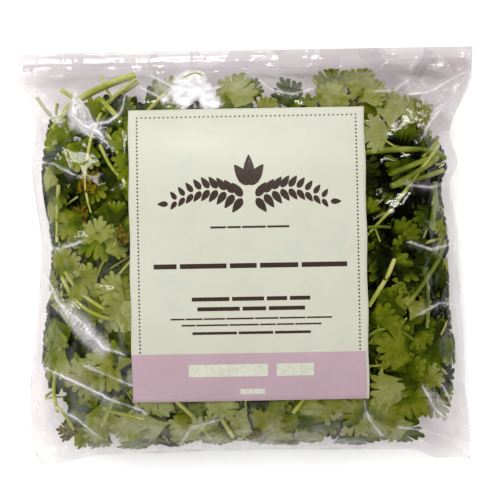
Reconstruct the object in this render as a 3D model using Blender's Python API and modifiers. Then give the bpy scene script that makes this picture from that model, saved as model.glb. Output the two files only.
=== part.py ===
"""A clear zip bag of cut coriander, lying on its back with its label up.

Frame: metres, +Z up, +X across the bag, +Y from its bottom fold to its zip. The origin is at the
centre of the footprint, on the surface that the bag lies on. Driving dimensions are in millimetres.
"""

import math
import random

import bmesh
import bpy

MM = 0.001

# ---- driving dimensions, in millimetres ----
BAG_TOP = 117.3             # y of the mouth's cut edge
BAG_LOW = -113.0            # mean y of the bottom fold
BAG_HEIGHT = 60.0           # thickness of the filled bag, where it is fullest
FILM = 0.3                  # wall of the bag, thicker than the real film's 0.05 so that it stays a solid
SEAL_HEIGHT = 13.0          # height of the side seals above the surface
SEAL_GAP = 1.0              # outer thickness of the two films at a side seal
MOUTH_GAP = 3.7             # outer thickness of the two films over the zip
SEAL_SHARE = 0.02           # width of a side seal, as a share of the bag's half width
ZIP_Y = 109.0               # centre line of the zip
ZIP_HALF_BASE = 2.0         # half the width of each zip track's base
ZIP_HALF_LENGTH = 126.0
PILLOW_END = 104.5          # y where the filled part ends, below the zip
CLEAR = 0.3                 # gap between pieces that touch

LABEL_WIDTH = 132.5
LABEL_LENGTH = 164.0
LABEL_CENTRE = (0.3, 1.2)
LABEL_THICKNESS = 0.3
LABEL_CLEAR = 1.0

STEM_RADIUS = 1.25
PETIOLE_RADIUS = 0.8
LEAF_THICKNESS = 0.6
LEAF_REACH = 25.0           # from the joint of a leaf's three leaflets to the tip of the middle one
LEAF_LAP = 1.3              # a petiole stops this far short of the joint, inside the leaf's base
LAYERS = 6                  # layers of sprigs hung under the upper film, and as many on the lower one
FIRST_DEPTH = 3.2           # from the film to the middle of the first layer
LAYER_PITCH = 4.3

# The side edges as (y, x), from the bottom to the mouth: the film pulls in where the bag is fullest.
LEFT_EDGE = ((-118.0, -117.0), (-101.0, -126.0), (-72.0, -125.0), (-45.0, -122.0), (6.0, -117.0),
             (58.0, -122.0), (73.0, -119.0), (104.0, -129.5), (117.3, -130.0))
RIGHT_EDGE = ((-118.0, 124.0), (-100.0, 124.5), (-66.0, 122.0), (15.0, 119.0), (39.0, 115.0),
              (53.0, 120.0), (68.0, 116.0), (104.0, 129.0), (117.3, 130.0))
# The bottom fold as (x, y), from left to right: its two corners stand out as ears.
BOTTOM_EDGE = ((-130.0, -116.0), (-112.0, -115.5), (-84.0, -111.0), (0.0, -109.8),
               (88.0, -111.0), (108.0, -116.2), (130.0, -117.0))

# Grid lines of the film, closer where it curves most.
COLUMNS = (-1.0, -0.98, -0.95, -0.9, -0.82, -0.68, -0.48, -0.24, 0.0,
           0.24, 0.48, 0.68, 0.82, 0.9, 0.95, 0.98, 1.0)
ROWS = (0.0, 0.02, 0.055, 0.11, 0.2, 0.32, 0.46, 0.6, 0.72, 0.82, 0.89, 0.93, 0.955, 0.98, 1.0)


# ---- the shape of the filled bag ----

def between(points, at):
    """The value at this place on a curve through (place, value) points, level at each of them."""
    if at <= points[0][0]:
        return points[0][1]
    for (start, low), (end, high) in zip(points, points[1:]):
        if at <= end:
            share = (at - start) / (end - start)
            share = share * share * (3 - 2 * share)
            return low + (high - low) * share
    return points[-1][1]


def bag_place(u, v):
    """(x, y) of the film at u from -1 to 1 across the bag and v from 0 at the fold to 1 at the mouth."""
    level = BAG_LOW + (BAG_TOP - BAG_LOW) * v
    left, right = between(LEFT_EDGE, level), between(RIGHT_EDGE, level)
    x = left + (right - left) * (u + 1) / 2
    fold = between(BOTTOM_EDGE, x)
    return x, fold + (BAG_TOP - fold) * v


def bag_share(x, y):
    """(u, v) of the film at a place: the inverse of bag_place."""
    fold = between(BOTTOM_EDGE, x)
    v = (y - fold) / (BAG_TOP - fold)
    level = BAG_LOW + (BAG_TOP - BAG_LOW) * v
    left, right = between(LEFT_EDGE, level), between(RIGHT_EDGE, level)
    return 2 * (x - left) / (right - left) - 1, v


def fullness(u, v):
    """How full the bag is at (u, v), from 0 at its seals and zip to 1 in the middle."""
    v_end = (PILLOW_END - BAG_LOW) / (BAG_TOP - BAG_LOW)
    along = min(abs(2 * v / v_end - 1), 1.0)
    across = min(abs(u), 1.0)
    return ((1 - across ** 3) * (1 - along ** 3)) ** 0.7


def half_gap(u):
    """Half the outer thickness of the two films where the bag is empty."""
    inward = min((1 - min(abs(u), 1.0)) / SEAL_SHARE, 1.0)
    return (SEAL_GAP + (MOUTH_GAP - SEAL_GAP) * inward) / 2


def seal_height(v):
    """Height of the seals: the mouth droops towards the surface."""
    return SEAL_HEIGHT - 3.5 * v ** 3


def upper_film(u, v):
    """Height of the upper film's outer face."""
    rest = seal_height(v) + half_gap(u)
    return rest + (BAG_HEIGHT - rest) * fullness(u, v)


def lower_film(u, v):
    """Height of the lower film's outer face, flat where it lies on the surface."""
    rest = seal_height(v) - half_gap(u)
    return max(0.0, rest * (1 - 1.9 * fullness(u, v)))


# ---- Blender helpers ----

def collection(name, shown=True):
    made = bpy.data.collections.new(name)
    made.hide_render = not shown
    bpy.context.scene.collection.children.link(made)
    return made


def material(name, colour, roughness, alpha=1.0):
    made = bpy.data.materials.new(name)
    made.use_nodes = True
    surface = made.node_tree.nodes["Principled BSDF"]
    surface.inputs["Base Color"].default_value = (*colour, 1.0)
    surface.inputs["Roughness"].default_value = roughness
    surface.inputs["Metallic"].default_value = 0.0
    surface.inputs["Alpha"].default_value = alpha
    return made


def new_object(name, data, group, finish=None):
    made = bpy.data.objects.new(name, data)
    group.objects.link(made)
    if finish is not None:
        data.materials.clear()
        data.materials.append(finish)
    return made


def mesh_of(bm, name):
    data = bpy.data.meshes.new(name)
    bm.to_mesh(data)
    bm.free()
    return data


def evaluated_mesh(obj, weld=True):
    """The object's evaluated mesh, with loose caps welded on."""
    graph = bpy.context.evaluated_depsgraph_get()
    data = bpy.data.meshes.new_from_object(obj.evaluated_get(graph))
    bm = bmesh.new()
    bm.from_mesh(data)
    if weld:
        bmesh.ops.remove_doubles(bm, verts=bm.verts, dist=0.00001)
    bmesh.ops.triangulate(bm, faces=bm.faces)
    bm.to_mesh(data)
    bm.free()
    return data


# ---- the bag ----

def build_bag(group, finish):
    """The sack: one web folded at the bottom and sealed at both sides, open at the mouth."""
    bm = bmesh.new()
    rings = []
    for v in ROWS:
        upper = [bm.verts.new((*(c * MM for c in bag_place(u, v)), upper_film(u, v) * MM)) for u in COLUMNS]
        lower = [bm.verts.new((*(c * MM for c in bag_place(u, v)), lower_film(u, v) * MM)) for u in COLUMNS]
        rings.append(upper + lower[::-1])
    for low, high in zip(rings, rings[1:]):
        for i in range(len(low)):
            j = (i + 1) % len(low)
            bm.faces.new((low[i], low[j], high[j], high[i]))
    count = len(COLUMNS)
    fold = rings[0]
    for i in range(count - 1):
        bm.faces.new((fold[i], fold[2 * count - 1 - i], fold[2 * count - 2 - i], fold[i + 1]))
    bmesh.ops.triangulate(bm, faces=bm.faces)
    bmesh.ops.recalc_face_normals(bm, faces=bm.faces)
    bag = new_object("bag_film", mesh_of(bm, "bag_film"), group, finish)
    wall = bag.modifiers.new("film_thickness", "SOLIDIFY")
    wall.thickness = FILM * MM
    wall.offset = -1
    wall.use_even_offset = True
    return bag


def build_track(name, outline, group, finish):
    """A zip track: its (y, z) section, in millimetres about the zip's centre line, run across the bag."""
    curve = bpy.data.curves.new(name, "CURVE")
    curve.dimensions = "2D"
    curve.fill_mode = "BOTH"
    curve.extrude = ZIP_HALF_LENGTH * MM
    line = curve.splines.new("POLY")
    line.points.add(len(outline) - 1)
    for point, (y, z) in zip(line.points, outline):
        point.co = (y * MM, z * MM, 0, 1)
    line.use_cyclic_u = True
    track = new_object(name, curve, group, finish)
    zip_v = (ZIP_Y - BAG_LOW) / (BAG_TOP - BAG_LOW)
    track.location = (0, ZIP_Y * MM, seal_height(zip_v) * MM)
    track.rotation_euler = (math.pi / 2, 0, math.pi / 2)
    return track


def groove_outline():
    """The track on the upper film: a base with two hooked jaws."""
    base, under, jaw, inner, lip = 1.25, 0.95, 1.3, 0.95, 0.6
    return ((ZIP_HALF_BASE, base), (-ZIP_HALF_BASE, base), (-ZIP_HALF_BASE, under), (-jaw, under),
            (-jaw, -0.45), (-lip, -0.45), (-lip, -0.2), (-inner, -0.1), (-inner, under),
            (inner, under), (inner, -0.1), (lip, -0.2), (lip, -0.45), (jaw, -0.45), (jaw, under),
            (ZIP_HALF_BASE, under))


def rib_outline():
    """The track on the lower film: a base with a barbed rib that the jaws hold."""
    base, top, neck, barb = -1.25, -0.95, 0.25, 0.65
    return ((-ZIP_HALF_BASE, base), (ZIP_HALF_BASE, base), (ZIP_HALF_BASE, top), (neck, top),
            (neck, 0.1), (barb, 0.15), (neck, 0.62), (-neck, 0.62), (-barb, 0.15), (-neck, 0.1),
            (-neck, top), (-ZIP_HALF_BASE, top))


def build_label(group, finish):
    """The label: a sheet stuck on the upper film, following its crown."""
    across, along = 10, 12
    bm = bmesh.new()
    rows = []
    for j in range(along + 1):
        row = []
        for i in range(across + 1):
            x = LABEL_CENTRE[0] + LABEL_WIDTH * (i / across - 0.5)
            y = LABEL_CENTRE[1] + LABEL_LENGTH * (j / along - 0.5)
            z = upper_film(*bag_share(x, y)) + LABEL_CLEAR
            row.append(bm.verts.new((x * MM, y * MM, z * MM)))
        rows.append(row)
    for low, high in zip(rows, rows[1:]):
        for i in range(across):
            bm.faces.new((low[i], low[i + 1], high[i + 1], high[i]))
    bmesh.ops.triangulate(bm, faces=bm.faces)
    label = new_object("label", mesh_of(bm, "label"), group, finish)
    sheet = label.modifiers.new("paper_thickness", "SOLIDIFY")
    sheet.thickness = LABEL_THICKNESS * MM
    sheet.offset = 1
    return label


# ---- where the sprigs lie ----
# A sprig is (start x, start y, heading in degrees, stem length, bend in degrees, layer, leaves), from its
# cut end to its tip. A leaf is (place along the stem from 0 to 1, side angle, petiole length). Layers
# 0 to 5 hang under the upper film, and layers 6 to 11 lie on the lower film, 6 being the lowest.

CHOSEN_SPRIGS = (
    (-62, 101, 214, 80, 70, 0, ((1.0, 0, 5), (0.66, 62, 9))),
    (110, 62, 232, 92, -6, 0, ((1.0, 0, 5), (0.66, 62, 9))),
    (-10, -102, 120, 66, -20, 0, ((1.0, 0, 6),)),
    (-27, 93, 224, 30, -10, 2, ((1.0, 0, 6),)),
    (112, 12, 243, 92, -8, 1, ((1.0, 0, 6), (0.5, -66, 8))),
    (-105, -14, -26, 84, 10, 1, ((1.0, 0, 6),)),
    (-106, 81, -40, 82, -16, 1, ((1.0, 0, 6), (0.6, 58, 10))),
    (30, -94, 152, 80, 22, 3, ((1.0, 0, 6),)),
    (107, 46, 190, 80, -16, 2, ((1.0, 0, 6), (0.6, -62, 8))),
    (-80, 72, -40, 76, 12, 3, ((1.0, 0, 6), (0.62, 58, 10))),
    (-92, -78, 74, 66, 8, 2, ((1.0, 0, 6), (0.6, -56, 9))),
    (96, -66, 118, 80, -20, 3, ((1.0, 0, 6), (0.55, 60, 8))),
)
SPRIG_COUNT = 32
LEAF_RADIUS = 22.0          # circle that keeps a leaf's place
LEAF_CENTRE = 0.45          # how far past its joint that circle's middle is, as a share of its radius
STEM_CLEAR = 5.0            # least distance between two stems in one layer
LEAF_CLEAR = 7.0            # least distance of a leaf's circle from anything else in its layer
ROOM_SPARE = 2.4            # thickness left between the upper and the lower layers
STEM_MARKS = 10             # steps along a stem that are tested


def stem_point(sprig, share):
    """(x, y, heading) at this share of the stem's length: the stem is an arc."""
    x, y, heading, length, bend = sprig[:5]
    heading, bend = math.radians(heading), math.radians(bend)
    if abs(bend) < 0.001:
        return x + math.cos(heading) * length * share, y + math.sin(heading) * length * share, heading
    radius = length / bend
    turned = heading + bend * share
    return (x + radius * (math.sin(turned) - math.sin(heading)),
            y - radius * (math.cos(turned) - math.cos(heading)), turned)


def petiole_ends(sprig, leaf):
    """The leaf's petiole: ((x, y) on the stem, (x, y) at the leaf's joint, its heading)."""
    along, side, length = leaf
    x, y, heading = stem_point(sprig, along)
    heading += math.radians(side)
    return (x, y), (x + math.cos(heading) * length, y + math.sin(heading) * length), heading


def marks(sprig):
    """(places along the stem, middles of the leaves' circles), in millimetres."""
    stem = [stem_point(sprig, i / STEM_MARKS)[:2] for i in range(STEM_MARKS + 1)]
    leaves = []
    for leaf in sprig[6]:
        _, (x, y), heading = petiole_ends(sprig, leaf)
        ahead = LEAF_RADIUS * LEAF_CENTRE
        leaves.append((x + math.cos(heading) * ahead, y + math.sin(heading) * ahead))
    return stem, leaves


def layer_depth(layer):
    """(True for a layer under the upper film, distance from that film to the layer's middle)."""
    return layer < LAYERS, FIRST_DEPTH + LAYER_PITCH * (layer % LAYERS)


def layer_height(layer, x, y):
    hangs, depth = layer_depth(layer)
    u, v = bag_share(x, y)
    return upper_film(u, v) - depth if hangs else lower_film(u, v) + depth


def room_at(layer, x, y):
    """True if the bag is thick enough here for this layer and for the same layer of the other half."""
    u, v = bag_share(x, y)
    if abs(u) > 0.975 or not 0.015 < v < 0.95:
        return False
    return upper_film(u, v) - lower_film(u, v) > 2 * layer_depth(layer)[1] + ROOM_SPARE


def near(first, second, distance):
    return any(math.dist(a, b) < distance for a in first for b in second)


def fits(layer, stem, leaves, placed):
    """True if a sprig's marks are inside the bag and clear of those already in its layer."""
    for other, other_stem, other_leaves in placed:
        if other == layer and (near(leaves, other_leaves, 2 * LEAF_RADIUS + LEAF_CLEAR)
                               or near(stem, other_leaves, LEAF_RADIUS + LEAF_CLEAR)
                               or near(leaves, other_stem, LEAF_RADIUS + LEAF_CLEAR)
                               or near(stem, other_stem, STEM_CLEAR)):
            return False
    rim = [(x + LEAF_RADIUS * math.cos(turn), y + LEAF_RADIUS * math.sin(turn))
           for x, y in leaves for turn in (0.0, 1.05, 2.1, 3.14, 4.2, 5.25)]
    return all(room_at(layer, x, y) for x, y in rim + stem)


def lay_out_sprigs():
    """The chosen sprigs, then others tried at random places in every layer until enough fit."""
    draw = random.Random(41)
    sprigs = list(CHOSEN_SPRIGS)
    placed = [(sprig[5], *marks(sprig)) for sprig in sprigs]
    while len(sprigs) < SPRIG_COUNT:
        layer = len(sprigs) % (2 * LAYERS)
        length = draw.uniform(56, 104)
        side = draw.choice((-1, 1)) * draw.uniform(50, 68)
        leaves = ((1.0, 0, 6), (0.6, side, 9)) if length > 74 else ((1.0, 0, 6),)
        sprig = (draw.uniform(-104, 104), draw.uniform(-98, 94), draw.uniform(0, 360), length,
                 draw.uniform(-34, 34), layer, leaves)
        stem, circles = marks(sprig)
        if fits(layer, stem, circles, placed):
            sprigs.append(sprig)
            placed.append((layer, stem, circles))
    return sprigs


# ---- the sprigs ----

def tube(points, radii, roundness, name, group):
    """A tapering tube through points in millimetres, as a mesh object."""
    curve = bpy.data.curves.new(name, "CURVE")
    curve.dimensions = "3D"
    curve.bevel_depth = MM
    curve.bevel_resolution = roundness
    curve.use_fill_caps = True
    line = curve.splines.new("POLY")
    line.points.add(len(points) - 1)
    for point, place, radius in zip(line.points, points, radii):
        point.co = (*(c * MM for c in place), 1)
        point.radius = radius
    guide = new_object(name + "_guide", curve, group)
    made = new_object(name, evaluated_mesh(guide), group)
    bpy.data.objects.remove(guide)
    return made


def leaf_outline():
    """(angle, reach) points round a leaf's joint: three leaflets of rounded lobes with gaps between."""
    spread = math.radians(78)
    lobe = ((-24, 0.72), (-11, 0.97), (0, 0.9), (11, 0.97), (24, 0.72))
    outline = [(-math.radians(155), 0.14)]
    for leaflet in (-1, 0, 1):
        size = 1.0 if leaflet == 0 else 0.86
        outline += [(leaflet * spread + math.radians(a), r * size) for a, r in lobe]
        if leaflet < 1:
            outline.append(((leaflet + 0.5) * spread, 0.3))
    outline.append((math.radians(155), 0.14))
    return outline


def build_leaf(layer, joint, heading, name, group):
    """A leaf plate, fanned from its joint, lying in its layer."""
    bm = bmesh.new()

    def point(x, y):
        return bm.verts.new((x * MM, y * MM, layer_height(layer, x, y) * MM))

    middle = point(*joint)
    rim = [point(joint[0] + math.cos(heading + a) * r * LEAF_REACH,
                 joint[1] + math.sin(heading + a) * r * LEAF_REACH) for a, r in leaf_outline()]
    for a, b in zip(rim, rim[1:] + rim[:1]):
        bm.faces.new((middle, a, b))
    plate = new_object(name, mesh_of(bm, name), group)
    wall = plate.modifiers.new("leaf_thickness", "SOLIDIFY")
    wall.thickness = LEAF_THICKNESS * MM
    wall.offset = 0
    return plate


def build_sprig(number, sprig, group, helpers, finish):
    """One cut sprig, grown as one piece: its stem, petioles and leaves joined."""
    name = f"coriander_sprig_{number:02d}"
    layer = sprig[5]
    steps = max(3, round(sprig[3] / 15))
    places = [stem_point(sprig, i / steps)[:2] for i in range(steps + 1)]
    path = [(x, y, layer_height(layer, x, y)) for x, y in places]
    radii = [STEM_RADIUS * (1 - 0.4 * i / steps) for i in range(steps + 1)]
    sprig_object = tube(path, radii, 1, name, group)
    for i, leaf in enumerate(sprig[6]):
        (x0, y0), (x1, y1), heading = petiole_ends(sprig, leaf)
        x2, y2 = x1 - math.cos(heading) * LEAF_LAP, y1 - math.sin(heading) * LEAF_LAP
        ends = [(x0, y0, layer_height(layer, x0, y0)), (x2, y2, layer_height(layer, x2, y2))]
        added = (tube(ends, (PETIOLE_RADIUS, PETIOLE_RADIUS), 1, f"{name}_petiole_{i}", helpers),
                 build_leaf(layer, (x1, y1), heading, f"{name}_leaf_{i}", helpers))
        for piece in added:
            join = sprig_object.modifiers.new("join", "BOOLEAN")
            join.operation = "UNION"
            join.object = piece
    joined = evaluated_mesh(sprig_object, weld=False)
    sprig_object.modifiers.clear()
    sprig_object.data = joined
    joined.materials.clear()
    joined.materials.append(finish)
    for piece in list(helpers.objects):
        bpy.data.objects.remove(piece)


def main():
    for obj in list(bpy.data.objects):
        bpy.data.objects.remove(obj)
    group = collection("bag_of_coriander")
    helpers = collection("helpers", shown=False)
    film = material("clear_film", (0.92, 0.91, 0.93), 0.15, 0.25)
    zip_plastic = material("zip_plastic", (0.9, 0.9, 0.92), 0.3, 0.5)
    paper = material("label_paper", (0.68, 0.68, 0.57), 0.6)
    green = material("coriander_green", (0.12, 0.24, 0.03), 0.5)
    build_bag(group, film)
    build_track("zip_groove_track", groove_outline(), group, zip_plastic)
    build_track("zip_rib_track", rib_outline(), group, zip_plastic)
    build_label(group, paper)
    for number, sprig in enumerate(lay_out_sprigs(), 1):
        build_sprig(number, sprig, group, helpers, green)
    bpy.data.collections.remove(helpers)


main()
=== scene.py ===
"""A clear zip bag packed with cut coriander, lying on its back with its label up.

Lengths are worked out in millimetres in the bag's own frame and turned to metres where a mesh is made.
"""
import functools
import math
import random

import bpy
import numpy as np
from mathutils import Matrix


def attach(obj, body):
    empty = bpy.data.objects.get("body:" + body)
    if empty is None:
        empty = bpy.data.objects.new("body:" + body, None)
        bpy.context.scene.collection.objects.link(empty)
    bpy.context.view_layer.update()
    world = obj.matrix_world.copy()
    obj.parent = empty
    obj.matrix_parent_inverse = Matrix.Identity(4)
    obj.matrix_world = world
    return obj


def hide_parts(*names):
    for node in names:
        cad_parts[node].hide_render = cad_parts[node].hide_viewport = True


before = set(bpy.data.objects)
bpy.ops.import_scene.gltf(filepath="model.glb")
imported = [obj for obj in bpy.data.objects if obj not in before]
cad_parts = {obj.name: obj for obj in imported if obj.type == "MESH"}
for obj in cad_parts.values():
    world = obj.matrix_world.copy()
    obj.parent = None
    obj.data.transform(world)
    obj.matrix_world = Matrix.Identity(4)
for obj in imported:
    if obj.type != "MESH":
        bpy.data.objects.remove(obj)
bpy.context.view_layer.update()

MM = 0.001

# ---- the filled bag's shape, as the CAD has it, in millimetres ----
BAG_TOP = 117.3
BAG_LOW = -113.0
BAG_HEIGHT = 60.0
SEAL_HEIGHT = 13.0
UNDER_DROP = 1.9            # how fast the lower film comes down to the surface as the bag gets fuller
PILLOW_END = 104.5
ZIP_Y = 109.0
LEFT_EDGE = ((-118.0, -117.0), (-101.0, -126.0), (-72.0, -125.0), (-45.0, -122.0), (6.0, -117.0),
             (58.0, -122.0), (73.0, -119.0), (104.0, -129.5), (117.3, -130.0))
RIGHT_EDGE = ((-118.0, 124.0), (-100.0, 124.5), (-66.0, 122.0), (15.0, 119.0), (39.0, 115.0),
              (53.0, 120.0), (68.0, 116.0), (104.0, 129.0), (117.3, 130.0))
BOTTOM_EDGE = ((-130.0, -116.0), (-112.0, -115.5), (-84.0, -111.0), (0.0, -109.8),
               (88.0, -111.0), (108.0, -116.2), (130.0, -117.0))
LABEL_WIDTH = 132.5
LABEL_LENGTH = 164.0
LABEL_CENTRE = (0.3, 1.2)
LABEL_BAND = 0.164          # the mauve band's share of the label's length
BAND_END = 0.990            # where the band stops, as a share of the label's width


def between(points, at):
    """Values on a curve through (place, value) points, level at each of them."""
    places, values = np.array(points).T
    at = np.clip(at, places[0], places[-1])
    i = np.clip(np.searchsorted(places, at) - 1, 0, len(places) - 2)
    share = (at - places[i]) / (places[i + 1] - places[i])
    share = share * share * (3 - 2 * share)
    return values[i] + (values[i + 1] - values[i]) * share


def bag_place(u, v):
    """(x, y) of the film at u from -1 to 1 across the bag and v from 0 at the fold to 1 at the mouth."""
    level = BAG_LOW + (BAG_TOP - BAG_LOW) * v
    left, right = between(LEFT_EDGE, level), between(RIGHT_EDGE, level)
    x = left + (right - left) * (u + 1) / 2
    fold = between(BOTTOM_EDGE, x)
    return x, fold + (BAG_TOP - fold) * v


def bag_share(x, y):
    """(u, v) of the film at a place: the inverse of bag_place."""
    fold = between(BOTTOM_EDGE, x)
    v = (y - fold) / (BAG_TOP - fold)
    level = BAG_LOW + (BAG_TOP - BAG_LOW) * v
    left, right = between(LEFT_EDGE, level), between(RIGHT_EDGE, level)
    return 2 * (x - left) / (right - left) - 1, v


def fullness(u, v):
    """How full the bag is at (u, v), from 0 at its seals and zip to 1 in the middle."""
    v_end = (PILLOW_END - BAG_LOW) / (BAG_TOP - BAG_LOW)
    along = np.minimum(np.abs(2 * v / v_end - 1), 1.0)
    across = np.minimum(np.abs(u), 1.0)
    return ((1 - across ** 3) * (1 - along ** 3)) ** 0.7


def seal_height(v):
    return SEAL_HEIGHT - 3.5 * np.clip(v, 0, 1) ** 3


def ease(low, high, at):
    """0 below low, 1 above high, and a smooth step between."""
    share = np.clip((at - low) / (high - low), 0, 1)
    return share * share * (3 - 2 * share)


def seam_gap(u, v):
    """Half the gap between the two films where the bag is empty: shut at the seals, open over the zip."""
    inward = np.minimum((1 - np.minimum(np.abs(u), 1.0)) / 0.02, 1.0)
    over_zip = 1 - ease(2.4, 5.0, np.abs(bag_place(u, v)[1] - ZIP_Y))
    gap = 0.35 + 1.15 * over_zip
    return 0.1 + gap * inward * np.minimum(v / 0.03, 1.0)


# ---- creases and crumples of the film ----
# Each crease is (points, width, height): a ridge, or a groove where the height is negative.

CREASES = (
    (((-96, 93), (-98, 82), (-92, 76), (-84, 72)), 2.6, 1.8),
    (((-86, 76), (-77, 77), (-70, 82), (-68, 90)), 1.6, 1.3),
    (((-95, 92), (-89, 84), (-83, 72), (-76, 62)), 2.0, 1.4),
    (((-115, -9), (-106, -25), (-94, -35), (-82, -50), (-72, -53)), 2.0, 1.9),
    (((-110, -20), (-99, -36), (-88, -44)), 1.5, -1.3),
    (((-118, -60), (-100, -68), (-80, -78), (-60, -86)), 2.0, 1.9),
    (((-92, -60), (-78, -66), (-64, -72)), 1.6, 1.3),
    (((-112, -82), (-98, -90), (-86, -100)), 1.8, 1.4),
    (((128, 104), (116, 98), (104, 91), (92, 90)), 2.2, 1.6),
    (((126, 100), (116, 88), (106, 76), (100, 66)), 1.8, 1.5),
    (((116, 80), (120, 72), (117, 66)), 1.5, 1.4),
    (((112, 84), (106, 80), (103, 72)), 1.4, 1.1),
    (((92, 98), (84, 92), (72, 92)), 1.6, 1.0),
    (((115, 40), (104, 37), (90, 39)), 1.8, 1.2),
    (((122, -100), (113, -96), (104, -88), (98, -76)), 2.0, 1.6),
    (((118, -112), (110, -104), (98, -100), (84, -98)), 1.9, 1.4),
    (((123, -90), (114, -86), (108, -74)), 1.6, 1.2),
    (((-52, 103), (-40, 96), (-26, 94), (-14, 96)), 2.4, 1.3),
    (((-58, 96), (-44, 88), (-30, 86)), 1.8, 1.0),
    (((6, 102), (14, 94), (26, 91), (38, 94)), 2.2, 1.1),
    (((-120, 56), (-108, 54), (-98, 48)), 1.8, 1.2),
    (((-116, 8), (-106, 6), (-94, 10)), 1.8, 1.2),
    (((74, -102), (66, -92), (64, -84)), 1.6, 1.1),
    (((-40, -106), (-34, -96), (-20, -92)), 1.7, 1.1),
    (((120, -30), (108, -28), (96, -34)), 1.7, 1.1),
    (((118, 6), (104, 2), (92, 6)), 1.7, 1.0),
)


def stretches(x, y, points):
    """For each stretch of a line: (distance to it, its sign the side; place along it; its length)."""
    for (x0, y0), (x1, y1) in zip(points, points[1:]):
        run, rise = x1 - x0, y1 - y0
        length = math.hypot(run, rise)
        along = ((x - x0) * run + (y - y0) * rise) / length
        kept = np.clip(along, 0, length) / length
        away = np.hypot(x - x0 - run * kept, y - y0 - rise * kept)
        yield np.where((x - x0) * rise > (y - y0) * run, away, -away), along, length


def line_distance(x, y, points):
    """Distance from each place to a line through points."""
    return np.min([np.abs(away) for away, _, _ in stretches(x, y, points)], axis=0)


FOLD_REACH = 5.0            # how far from a crease, and beyond its ends, its fold can be felt
FULL_FOLD = 1.9             # a crease this high is fully sharp


def nearest_fold(x, y):
    """(distance to the nearest crease, its sign the side; how sharp that crease is there, from 0 to 1)."""
    offset, sharp = np.full(np.shape(x), 99.0), np.zeros(np.shape(x))
    for points, _, height in CREASES:
        for i, (away, along, length) in enumerate(stretches(x, y, points)):
            past = np.maximum(-along if i == 0 else 0, along - length if i == len(points) - 2 else 0)
            there = abs(height) / FULL_FOLD * (1 - ease(0, FOLD_REACH, past))
            there *= 1 - ease(0.5, 1.0, np.abs(away) / FOLD_REACH)
            closer = np.abs(away) < np.abs(offset)
            offset, sharp = np.where(closer, away, offset), np.where(closer, there, sharp)
    return offset, sharp


def crumple(x, y, seed, folds, size, height):
    """A crumpled sheet: triangle waves that cross, so that flat facets meet in sharp creases."""
    draw = random.Random(seed)
    total = np.zeros(np.shape(x))
    for _ in range(folds):
        turn = draw.uniform(0, math.pi)
        length = size * draw.uniform(0.7, 1.6)
        start = draw.uniform(0, 1)
        along = x * math.cos(turn) + y * math.sin(turn)
        beside = y * math.cos(turn) - x * math.sin(turn)
        place = along / length + start + 0.3 * np.sin(beside / length * 1.3 + 6 * start)
        total += 2 * np.abs(place - np.round(place)) - 0.5
    return total * height / folds


def label_share(x, y):
    """1 under the label, which keeps the film smooth, and 0 beyond its edge."""
    beyond = np.maximum(np.abs(x - LABEL_CENTRE[0]) - LABEL_WIDTH / 2,
                        np.abs(y - LABEL_CENTRE[1]) - LABEL_LENGTH / 2)
    return 1 - ease(0.0, 5.0, beyond)


def label_waves(x, y):
    """Shallow waves of the label and of the film under it."""
    return (0.30 * np.sin(x / 17 + y / 31 + 0.6) + 0.22 * np.sin(x / 29 - y / 12 + 2.1)
            + 0.16 * np.sin(x / 9 + y / 14) * ease(-20, -82, y))


def relief(x, y, u, v, upper):
    """How far the creases and crumples lift the film."""
    edge = np.exp(-(1 - np.abs(u)) / 0.16)
    ends = np.exp(-v / 0.10) + 0.6 * np.exp(-np.abs(v - 0.94) / 0.06)
    loose = np.clip(0.30 + edge + 0.7 * ends, 0, 1.3)
    seed = 5 if upper else 50
    lift = crumple(x, y, seed, 6, 21, 3.4) * loose + crumple(x, y, seed + 1, 5, 9, 1.0) * loose
    pucker = np.sin(y * 0.52 + 1.8 * np.sin(y / 13)) * np.exp(-(1 - np.abs(u)) / 0.07)
    lift += 0.9 * pucker
    lift += 0.5 * np.sin(x * 0.45 + 2 * np.sin(x / 17)) * np.exp(-v / 0.05)
    if upper:
        for points, width, height in CREASES:
            away = line_distance(x, y, points)
            lift += 0.55 * height * np.exp(-(away / (1.7 * width)) ** 1.5)
    lift *= ease(0, 0.035, 1 - np.abs(u)) * ease(0, 0.02, v) * (1 - 0.85 * ease(0.945, 0.958, v))
    smooth = label_share(x, y) if upper else 0
    return lift * (1 - smooth) + (label_waves(x, y) * smooth if upper else 0)


def film_top(x, y):
    """Height of the upper film."""
    u, v = bag_share(x, y)
    rest = seal_height(v) + seam_gap(u, v)
    return rest + (BAG_HEIGHT - rest) * fullness(u, v) + relief(x, y, u, v, True)


def film_under(x, y):
    """Height of the lower film, flat where it lies on the surface."""
    u, v = bag_share(x, y)
    rest = seal_height(v) - seam_gap(u, v)
    full = fullness(u, v)
    free = 1 - ease(0.25, 0.5, full)
    return np.maximum(0.0, rest * (1 - UNDER_DROP * full) + relief(x, y, u, v, False) * free * 0.8)


# ---- mesh helpers ----

def clear_selection():
    if bpy.context.mode != "OBJECT":
        bpy.ops.object.mode_set(mode="OBJECT")
    bpy.ops.object.select_all(action="DESELECT")


def named(name):
    piece = bpy.context.active_object
    piece.name = name
    piece.data.name = name
    return piece


def add_grid(name, columns, rows, size):
    clear_selection()
    bpy.ops.mesh.primitive_grid_add(x_subdivisions=columns, y_subdivisions=rows, size=size)
    return named(name)


def places_of(piece):
    """The piece's vertices in millimetres, one column each for x, y and z."""
    flat = np.empty(len(piece.data.vertices) * 3)
    piece.data.vertices.foreach_get("co", flat)
    return flat.reshape(-1, 3) / MM


def move_vertices(piece, places):
    piece.data.vertices.foreach_set("co", (places * MM).ravel())
    piece.data.update()


def apply(piece, modifier):
    bpy.context.view_layer.objects.active = piece
    bpy.ops.object.modifier_apply(modifier=modifier.name)


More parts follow.
